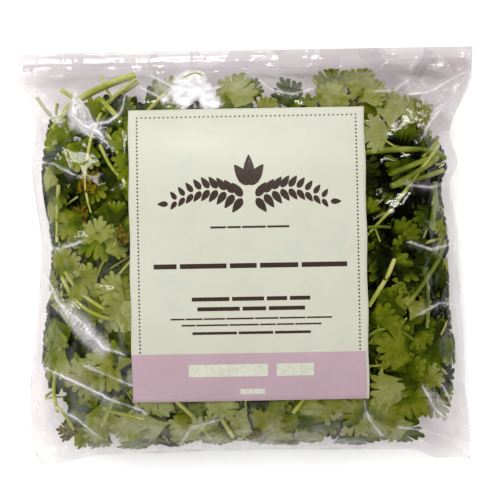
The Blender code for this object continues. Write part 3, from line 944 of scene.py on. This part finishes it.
class Foliage:
    """Gathers leaflets until they are made into one mesh."""

    def __init__(self, shapes, seed):
        self.shapes = shapes
        self.draw = random.Random(seed)
        self.places, self.faces, self.corners, self.tints, self.wilts = [], [], [], [], []
        self.count = 0

    def leaflet(self, joint, heading, reach, height, lean, tint, wilt=0.0):
        """Adds a leaflet. height is a function of (x, y), lean its slope, and tint and wilt its colour."""
        draw = self.draw
        flat, faces, corners = draw.choice(self.shapes)
        x, y = flat[:, 0], flat[:, 1] * draw.uniform(0.84, 1.10)
        cup, fold, twist = draw.uniform(-0.30, 0.30), draw.uniform(-0.40, 0.50), draw.uniform(-0.45, 0.45)
        wave, phase = draw.uniform(0.0, 0.05), draw.uniform(0, 6.28)
        rise = cup * x * x + fold * y * y + twist * x * y + wave * np.sin(9 * y + 4 * x + phase)
        cos, sin = math.cos(heading), math.sin(heading)
        px = joint[0] + reach * (x * cos - y * sin)
        py = joint[1] + reach * (x * sin + y * cos)
        tilt = (px - joint[0]) * lean[0] + (py - joint[1]) * lean[1]
        self.places.append(np.column_stack((px, py, height(px, py) + rise * reach + tilt)))
        self.faces += [tuple(self.count + i for i in face) for face in faces]
        self.corners.append(corners)
        self.tints.append(np.full(len(x), tint + draw.uniform(-0.06, 0.06)))
        self.wilts.append(np.full(len(x), wilt))
        self.count += len(x)

    def leaf(self, joint, heading, reach, height, lean, tint, spread=78, sides=0.86):
        """Adds a leaf of three leaflets about its joint."""
        draw = self.draw
        for side in (-1, 0, 1):
            size = reach * (1.0 if side == 0 else sides) * draw.uniform(0.9, 1.06)
            turn = heading + math.radians(side * spread + draw.uniform(-7, 7))
            start = (joint[0] + math.cos(turn) * 1.2, joint[1] + math.sin(turn) * 1.2)
            droop = (lean[0] + draw.uniform(-0.15, 0.15), lean[1] + draw.uniform(-0.15, 0.15))
            self.leaflet(start, turn, size, height, droop, tint)

    def build(self, name):
        """Makes the gathered leaflets into one piece, kept inside the bag."""
        places, pressed = keep_inside(np.concatenate(self.places), FILM_TOUCH)
        tints = np.concatenate(self.tints)
        tints += (PRESSED_TINT - tints) * PRESSED_PALE * pressed ** 2
        data = bpy.data.meshes.new(name)
        data.from_pydata((places * MM).tolist(), [], self.faces)
        store(data, tint=tints, wilt=np.concatenate(self.wilts))
        data.uv_layers.new(name="UVMap").data.foreach_set("uv", np.concatenate(self.corners).ravel())
        piece = bpy.data.objects.new(name, data)
        bpy.context.scene.collection.objects.link(piece)
        return smooth(piece)


def inside_part(path):
    """The stretch of a path from its first point in the bag to where it would leave, at least two points."""
    x, y = np.array(path)[:, :2].T
    u, v = bag_share(x, y)
    side, low, high = STEM_ROOM
    outside = (np.abs(u) > side) | (v < low) | (v > high)
    start = int(np.argmin(outside))
    out = [i for i in range(start + 2, len(path)) if outside[i]]
    return path[start:out[0]] if out else path[start:]


def build_stalks(name, paths, sides=2):
    """Tubes along paths of (x, y, z, radius), as one mesh with its cut ends closed."""
    clear_selection()
    bpy.ops.curve.primitive_nurbs_path_add()
    stalks = named(name)
    curve = stalks.data
    curve.splines.clear()
    curve.bevel_depth = MM
    curve.bevel_resolution = sides
    curve.use_fill_caps = True
    for path in paths:
        path = inside_part(path)
        kept, _ = keep_inside(np.array(path)[:, :3], FILM_TOUCH + path[0][3])
        line = curve.splines.new("POLY")
        line.points.add(len(path) - 1)
        for point, place, (_, _, _, radius) in zip(line.points, kept, path):
            point.co = (*(place * MM), 1)
            point.radius = radius
    stalks.select_set(True)
    bpy.ops.object.convert(target="MESH")
    return smooth(named(name))


def stem_path(sprig, height):
    """(x, y, z, radius) along a sprig's stem, with a slight wander."""
    wander = random.Random(int(abs(sprig[0]) * 7 + abs(sprig[1]) * 13))
    phase = wander.uniform(0, 6.28)
    path = []
    for i in range(STEM_STEPS + 1):
        share = i / STEM_STEPS
        x, y, heading = stem_point(sprig, share)
        aside = 0.9 * math.sin(phase + share * 7) * math.sin(math.pi * share)
        x, y = x - math.sin(heading) * aside, y + math.cos(heading) * aside
        path.append((x, y, height(x, y), STEM_RADIUS * (1 - 0.42 * share)))
    return path


def build_sprig(number, sprig, shapes, leaf, stem):
    """One detailed sprig where the CAD has a plain one."""
    name = f"coriander_{number:02d}"
    layer = sprig[5]

    def height(x, y):
        return layer_height(layer, x, y)

    paths = [stem_path(sprig, height)]
    foliage = Foliage(shapes, number)
    tint = foliage.draw.choice((0.2, 0.3, 0.4, 0.5, 0.6))
    for leaf_at in sprig[6]:
        (x0, y0), (x1, y1), heading = petiole_ends(sprig, leaf_at)
        petiole = []
        for i in range(4):
            x, y = x0 + (x1 - x0) * i / 3, y0 + (y1 - y0) * i / 3
            petiole.append((x, y, height(x, y), PETIOLE_RADIUS * (1.15 - 0.1 * i)))
        paths.append(petiole)
        # The leaf's tint gets painted light and shade by place.
        foliage.leaf((x1, y1), heading, LEAF_REACH, height, (0, 0), tint + painted_light_and_shade(x1, y1))
    finish(build_stalks(name + "_stems", paths), stem)
    finish(foliage.build(name + "_leaves"), leaf, f"coriander_sprig_{number:02d}")


# ---- the leaves and stems that show best, laid one by one under the upper film ----
# A leaflet is (joint x, joint y, heading in degrees, reach, depth under the film, tint). Tints run from 0,
# nearly black, which is painted shade, through 0.4, deep green, and 0.6, bright green, to 0.9, pale where it
# is pressed on the film.

SHOWN_LEAFLETS = (
    (50, 84, 92, 26, 3.5, 0.58), (60, 86, 68, 25, 3, 0.63), (63, 85, 38, 20, 2.4, 0.64),
    (64, 86, 24, 17, 1.5, 0.84), (70, 75, 82, 18, 6, 0.46), (81, 70, 85, 23, 1.4, 0.88),
    (88, 71, 62, 22, 1.6, 0.87), (92, 74, 36, 17, 2.6, 0.6), (81, 58, 25, 26, 3.5, 0.56),
    (84, 69, 185, 21, 1.4, 0.84), (100, 46, 150, 26, 5, 0.5), (100, 44, 108, 18, 6, 0.34),
    (85, 33, -8, 14, 7, 0.74), (70, 30, -50, 12, 9, 0.55), (114, 26, 200, 22, 5, 0.42),
    (112, 38, 268, 16, 1.8, 0.68), (112, 22, 266, 14, 2, 0.62), (92, -6, 95, 20, 5, 0.3),
    (80, -4, 75, 16, 7, 0.28), (68, -12, 60, 22, 5, 0.38), (117, -2, 232, 15, 1.5, 0.74),
    (100, -24, 130, 24, 4, 0.48), (66, -36, 25, 26, 3, 0.62), (90, -38, 60, 20, 1.6, 0.76),
    (107, -38, 15, 13, 3, 0.46), (66, -50, 20, 25, 2.2, 0.68), (84, -38, -35, 22, 3, 0.5),
    (100, -40, -65, 24, 5, 0.32), (76, -66, 30, 26, 4, 0.52), (90, -70, 212, 26, 1.3, 0.85),
    (86, -74, -35, 23, 3.6, 0.44), (92, -70, -6, 18, 3, 0.55), (92, -96, 190, 22, 1.4, 0.84),
    (58, -90, -22, 24, 1.4, 0.86), (64, -84, 235, 22, 1.5, 0.84), (30, -80, -15, 25, 2, 0.72),
    (46, -98, 200, 22, 2.6, 0.6), (22, -104, 100, 20, 3, 0.55), (2, -104, 60, 24, 1.6, 0.8),
    (-2, -84, 240, 26, 1.3, 0.9), (-20, -106, 130, 20, 2.2, 0.75), (-30, -86, 230, 22, 2.2, 0.62),
    (-46, -93, 195, 25, 1.4, 0.87), (-66, -84, 250, 22, 1.3, 0.89), (-64, -58, 172, 27, 1.8, 0.7),
    (-80, -62, 200, 25, 2, 0.66), (-74, -52, 235, 26, 1.8, 0.68), (-98, -38, 200, 19, 2.5, 0.54),
    (-82, -22, 140, 26, 1.6, 0.7), (-100, 0, 178, 14, 2, 0.63), (-66, -20, 165, 20, 2.2, 0.62),
    (-86, 5, 132, 19, 1.4, 0.8), (-86, 5, 78, 19, 1.5, 0.8), (-85, 5, 22, 20, 1.4, 0.79),
    (-102, -94, -40, 20, 2, 0.7), (-64, -88, 160, 18, 3, 0.5), (-80, -72, 190, 20, 2, 0.64),
    (-108, -30, 100, 14, 1.5, 0.76), (-110, -34, 262, 20, 1.5, 0.7), (-104, -48, 240, 22, 1.7, 0.72),
    (-98, -52, 278, 21, 2.2, 0.62), (-96, -76, 285, 24, 1.6, 0.64), (-82, -78, 262, 24, 1.9, 0.7),
    (-76, -92, 205, 20, 1.5, 0.74), (-36, -92, 262, 18, 1.4, 0.8), (14, -94, 280, 18, 1.5, 0.76),
    (34, -94, 262, 16, 1.8, 0.66), (-100, 64, 135, 16, 1.8, 0.74), (-90, 58, 185, 26, 3, 0.5),
    (-94, 50, 150, 22, 2.5, 0.56), (-80, 74, 115, 19, 3.5, 0.5), (-72, 74, 68, 18, 4, 0.36),
    (-112, 54, 262, 17, 1.4, 0.76), (-112, 36, 266, 16, 1.4, 0.78), (-104, 32, 280, 24, 3, 0.46),
    (-88, 70, 250, 22, 4, 0.42), (-60, 80, 30, 27, 3, 0.32), (-46, 82, 78, 21, 2, 0.64),
    (-9, 80, 72, 26, 1.4, 0.82), (-1, 86, 62, 17, 2.6, 0.54), (8, 78, 48, 14, 2, 0.8),
)
WILTED_LEAFLETS = (
    (-88, 18, 166, 17, 0.9, 0.6), (-90, 20, 128, 12, 1.4, 0.5), (-74, 8, 42, 14, 0.9, 0.6),
    (-96, 37, 40, 17, 1.6, 0.4), (-97, -98, 172, 13, 1.2, 0.6), (10, -104, 175, 12, 1.2, 0.6),
    (116, -44, -62, 12, 3, 0.2), (60, -96, 12, 10, 2.4, 0.2),
)
# A stem is (radius, (x, y) points from its cut end).
SHOWN_STEMS = (
    (2.0, ((-63, 104), (-80, 97.5), (-96, 89), (-103, 81.5), (-110, 72), (-113, 62))),
    (1.1, ((-121, 93), (-115, 86), (-106, 77))),
    (1.2, ((-104, 96), (-97, 91), (-91, 86))),
    (1.5, ((-83, 91), (-76, 84), (-68, 75))),
    (1.2, ((-24, 102), (-28, 104), (-33, 102), (-42, 95), (-52, 86), (-58, 78))),
    (1.0, ((-78, 70), (-73, 62), (-70, 50), (-68, 40))),
    (1.0, ((-82, 64), (-76, 52), (-67, 42))),
    (1.1, ((-106, 42), (-107, 28), (-108, 10))),
    (1.3, ((82, -3), (78, -12), (73, -20), (67, -29))),
    (1.2, ((-105, -10), (-98, -22), (-88, -30), (-76, -34), (-64, -35))),
    (1.2, ((-103, -7), (-96, -17), (-86, -25), (-76, -30), (-64, -31))),
    (1.1, ((-109, -62), (-111, -74), (-109, -86))),
    (1.0, ((-111, -82), (-106, -86), (-100, -96))),
    (1.2, ((-83, -84), (-74, -87), (-60, -90))),
    (1.2, ((-88, -102), (-83, -92), (-76, -78))),
    (1.2, ((-42, -80), (-32, -90), (-25, -99), (-20, -106))),
    (1.0, ((-20, -80), (-25, -93), (-36, -104))),
    (1.2, ((24, -88), (31, -79))),
)
GREEN_STEMS = (
    (1.6, ((116, 52), (110, 56), (98, 58.5), (82, 58.5), (64, 57))),
    (1.2, ((112, 68), (106, 61), (99, 54))),
    (1.5, ((106, 55), (94, 50), (81, 45))),
    (1.6, ((108, 54), (96, 46), (81, 38))),
    (1.4, ((113, 47), (98, 42.5), (82, 38))),
    (1.6, ((107.5, 40), (106, 28), (103.5, 14))),
    (1.3, ((113, 7), (106, -6), (96, -20), (88, -29))),
    (1.0, ((100, -14), (101, -26), (100, -42))),
    (0.9, ((66, 15), (73, 15.5), (80, 15))),
    (1.0, ((66, -46), (74, -42), (84, -43), (94, -50))),
)
STEM_DEPTH = 0.4            # how far a shown stem's upper side is below the film


def rounded_line(points, steps=5):
    """Places along a smooth curve through points."""
    ends = [points[0], *points, points[-1]]
    line = []
    for a, b, c, d in zip(ends, ends[1:], ends[2:], ends[3:]):
        for i in range(steps):
            t = i / steps
            line.append(tuple(0.5 * (2 * q + (r - p) * t + (2 * p - 5 * q + 4 * r - w) * t * t
                                     + (3 * q - p - 3 * r + w) * t ** 3) for p, q, r, w in zip(a, b, c, d)))
    return line + [points[-1]]


def build_shown(shapes, leaf, stem, green_stem):
    """The shown leaves and stems. The leaves at the top right are given painted light: a little lighter than
    their tints say.
    """
    foliage = Foliage(shapes, 7)
    for leaflets, wilt in ((SHOWN_LEAFLETS, 0.0), (WILTED_LEAFLETS, 0.9)):
        for x, y, heading, reach, depth, tint in leaflets:
            lean = (foliage.draw.uniform(-0.10, 0.10), foliage.draw.uniform(-0.10, 0.10))
            # Painted light: leaflets at the top right are painted lighter unless they are already pale.
            tint += 0.10 * float(ease(40, 60, x) * ease(40, 60, y) * (1 - ease(0.6, 0.8, tint)))
            foliage.leaflet((x, y), math.radians(heading), reach,
                            lambda px, py: film_top(px, py) - FILM_TOUCH - depth, lean, tint, wilt)
    finish(foliage.build("shown_leaves"), leaf)
    for name, stems, material in (("shown_stems", SHOWN_STEMS, stem),
                                  ("shown_green_stems", GREEN_STEMS, green_stem)):
        paths = []
        for radius, points in stems:
            line = rounded_line(points)
            x, y = np.array(line).T
            heights = film_top(x, y) - FILM_TOUCH - STEM_DEPTH - radius
            paths.append([(px, py, z, radius) for (px, py), z in zip(line, heights)])
        finish(build_stalks(name, paths, 3), material)


# ---- the loose leaves that fill the bag ----
# Where the herbs lie, the last of these as (x, y) points round their edge.
HERB_MARGIN = 9             # how far inside their edge a leaf's middle is
HERB_WIDTH, HERB_LENGTH, HERB_TOP = 118, 110, 106       # the herbs reach about this far from the middle
HERB_EDGE = ((-112, 60), (-106, 76), (-92, 82), (-64, 82), (-46, 80), (-30, 70), (34, 70), (50, 80),
             (66, 84), (78, 74), (94, 66), (104, 56), (110, 46), (113, 12), (117, -32), (114, -62),
             (108, -78), (94, -94), (80, -102), (44, -108), (-52, -108), (-84, -104), (-98, -98),
             (-106, -86), (-110, -66), (-115, -44), (-113, 6), (-115, 44))


def painted_light_and_shade(x, y):
    """Painted light and shade in the herbs' tints: lighter low and on the left and at the top right, darker
    on the right, at the upper left and in a hollow on the right.
    """
    left, low = float(ease(20, 100, -x) * (1 - ease(0, 50, y))), float(ease(55, 95, -y))
    right = float(ease(40, 80, x) * (1 - ease(45, 75, y)) * (1 - ease(50, 85, -y)))
    behind = float(ease(30, 70, -x) * ease(10, 60, y))
    corner = float(ease(30, 60, x) * ease(40, 65, y))
    hollow_shade = math.exp(-((x - 81) ** 2 + (y - 25) ** 2) / 350)
    return 0.20 * left + 0.19 * low - 0.15 * right - 0.10 * behind + 0.08 * corner - 0.3 * hollow_shade


def scatter(draw):
    """A random place among the herbs, with most of its leaf inside their edge."""
    while True:
        x, y = draw.uniform(-HERB_WIDTH, HERB_WIDTH), draw.uniform(-HERB_LENGTH, HERB_TOP)
        if inside_line(x * (1 + HERB_MARGIN / HERB_WIDTH), y * (1 + HERB_MARGIN / HERB_LENGTH), HERB_EDGE):
            return x, y


def build_loose(name, shapes, seed, count, depths, upper, leaf, stem):
    """Loose leaves on their petioles, from depths[0] to depths[1] under the upper film or over the lower."""
    foliage = Foliage(shapes, seed)
    draw = foliage.draw
    paths = []
    for _ in range(count):
        x, y = scatter(draw)
        heading = draw.uniform(0, 2 * math.pi)
        size = draw.uniform(*LOOSE_REACH)
        back = size * 0.4
        joint = (x - math.cos(heading) * back, y - math.sin(heading) * back)
        cad_top, cad_under = cad_film(x, y)
        depth = min(draw.uniform(*depths), (cad_top - cad_under) / 2)

        def height(px, py, depth=depth):
            top, under = cad_film(px, py)
            return top - depth if upper else under + depth

        slope = 0.12 + 0.035 * depth
        lean = (draw.uniform(-slope, slope), draw.uniform(-slope, slope))
        # The darkest tints, near black, are painted shade between the leaves; painted light and shade by
        # place, and painted shade that deepens with depth, are added to them.
        tint = draw.choices((0.08, 0.2, 0.32, 0.44, 0.58, 0.72), (4, 5, 5, 5, 3, 1.5))[0]
        tint += painted_light_and_shade(x, y) - 0.022 * (depth - 3)
        foliage.leaf(joint, heading, size, height, lean, tint, draw.uniform(58, 88), draw.uniform(0.74, 0.95))
        length = draw.uniform(14, 46)
        bend = draw.uniform(-0.5, 0.5)
        path = []
        for i in range(6):
            turn = heading + math.pi + bend * i / 5
            px = joint[0] + math.cos(turn) * length * i / 5
            py = joint[1] + math.sin(turn) * length * i / 5
            pz = height(px, py) + 0.8 * draw.uniform(-1, 1)
            path.append((px, py, pz, PETIOLE_RADIUS * (1 + 0.12 * i)))
        paths.append(path)
    finish(foliage.build(name + "_leaves"), leaf)
    finish(build_stalks(name + "_petioles", paths, 1), stem)


# ---- floor, light and camera, in metres ----

CAMERA_HEIGHT = 2.5
CAMERA_SHIFT = (0.0012, 0.0036)
CAMERA_ROLL = math.radians(-1.0)
MIDDLE_HEIGHT = 0.03        # half-way up the bag, where the view is VIEW_WIDTH across
VIEW_WIDTH = 0.282
SENSOR = 36                 # in millimetres, as the lens is

def build_studio():
    clear_selection()
    bpy.ops.mesh.primitive_plane_add(size=8)
    floor = named("floor")
    sheet, place, add = new_material("white_card")
    grain = add("TexNoise", place, Scale=1 / (3 * MM))
    bump = add("Bump", Strength=0.05, Distance=0.1 * MM, Height=grain)
    card = add("BsdfDiffuse", hex_colour("#f9f9f9"), Normal=bump)
    glow = add("Emission", hex_colour("#fffbfc"), 0.15)
    output(sheet, add("AddShader", card, glow))
    floor.data.materials.append(sheet)
    floor.location.z = -0.0002
    world = bpy.data.worlds.new("studio")
    bpy.context.scene.world = world
    world.use_nodes = True
    background = world.node_tree.nodes["Background"].inputs
    background["Color"].default_value = hex_colour("#ffffff")
    background["Strength"].default_value = 0.75
    world.cycles_visibility.glossy = False
    # The broad lamps light the scene and the narrow ones make the film's glints.
    for name, place, size, power, glints in (("left_softbox", (-1.1, 0.25, 0.95), (0.9, 1.1), 6, False),
                                             ("right_softbox", (1.2, -0.3, 1.0), (0.5, 0.9), 3, False),
                                             ("front_softbox", (0.0, -1.3, 1.0), (1.2, 0.6), 3, False),
                                             ("left_strip", (-1.1, 0.5, 0.75), (0.12, 0.8), 3.5, True),
                                             ("right_strip", (1.1, 0.6, 0.8), (0.10, 0.6), 3.5, True),
                                             ("far_window", (-0.12, 0.95, 1.0), (0.20, 0.35), 6, True)):
        clear_selection()
        bpy.ops.object.light_add(type="AREA", location=place)
        lamp = bpy.context.active_object
        lamp.name = name
        lamp.data.shape = "RECTANGLE"
        lamp.data.size, lamp.data.size_y = size
        lamp.data.energy = power
        lamp.visible_glossy = glints
        lamp.rotation_euler = (-lamp.location).to_track_quat("-Z", "Y").to_euler()
    bpy.context.scene.view_settings.view_transform = "Standard"


def build_camera():
    """Straight above, rolled a little, as far off as a long lens."""
    clear_selection()
    bpy.ops.object.camera_add(location=(*CAMERA_SHIFT, CAMERA_HEIGHT), rotation=(0, 0, CAMERA_ROLL))
    camera = bpy.context.active_object
    camera.data.sensor_width = SENSOR
    camera.data.lens = SENSOR * (CAMERA_HEIGHT - MIDDLE_HEIGHT) / VIEW_WIDTH
    camera.data.clip_end = 10
    bpy.context.scene.camera = camera


def main():
    film = film_material()
    leaf = leaf_material()
    stem = stem_material("coriander_stem", "#7c8820", "#9ea43c", "#c0bf74")
    green_stem = stem_material("green_coriander_stem", "#4c5c08", "#67770e", "#8a9434")
    build_camera()
    finish(build_film(), film, "bag_film", slot="clear_film")
    finish(build_label(), paper_material(), "label", slot="label_paper")
    dark, light = build_print()
    finish(dark, ink_material("dark_printing_ink", "#38281f"), slot="label_paper")
    finish(light, ink_material("pale_printing_ink", "#bdbdad"), slot="label_paper")
    zip_plastic = zip_material()
    for name in ("zip_groove_track", "zip_rib_track"):
        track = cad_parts[name]
        for place in track.material_slots:
            place.material = zip_plastic
    shapes = [build_leaflet(kind) for kind in range(LEAFLET_KINDS)]
    for number, sprig in enumerate(lay_out_sprigs(), 1):
        build_sprig(number, sprig, shapes, leaf, stem)
    build_shown(shapes, leaf, stem, green_stem)
    for name, seed, count, depths, upper in (
            ("upper_herbs_a", 101, 90, (3.5, 10), True), ("upper_herbs_b", 102, 110, (7, 16), True),
            ("upper_herbs_c", 103, 90, (12, 26), True), ("lower_herbs_a", 104, 110, (1.5, 9), False),
            ("lower_herbs_b", 105, 80, (6, 20), False)):
        build_loose(name, shapes, seed, count, depths, upper, leaf, stem)
    build_studio()


main()
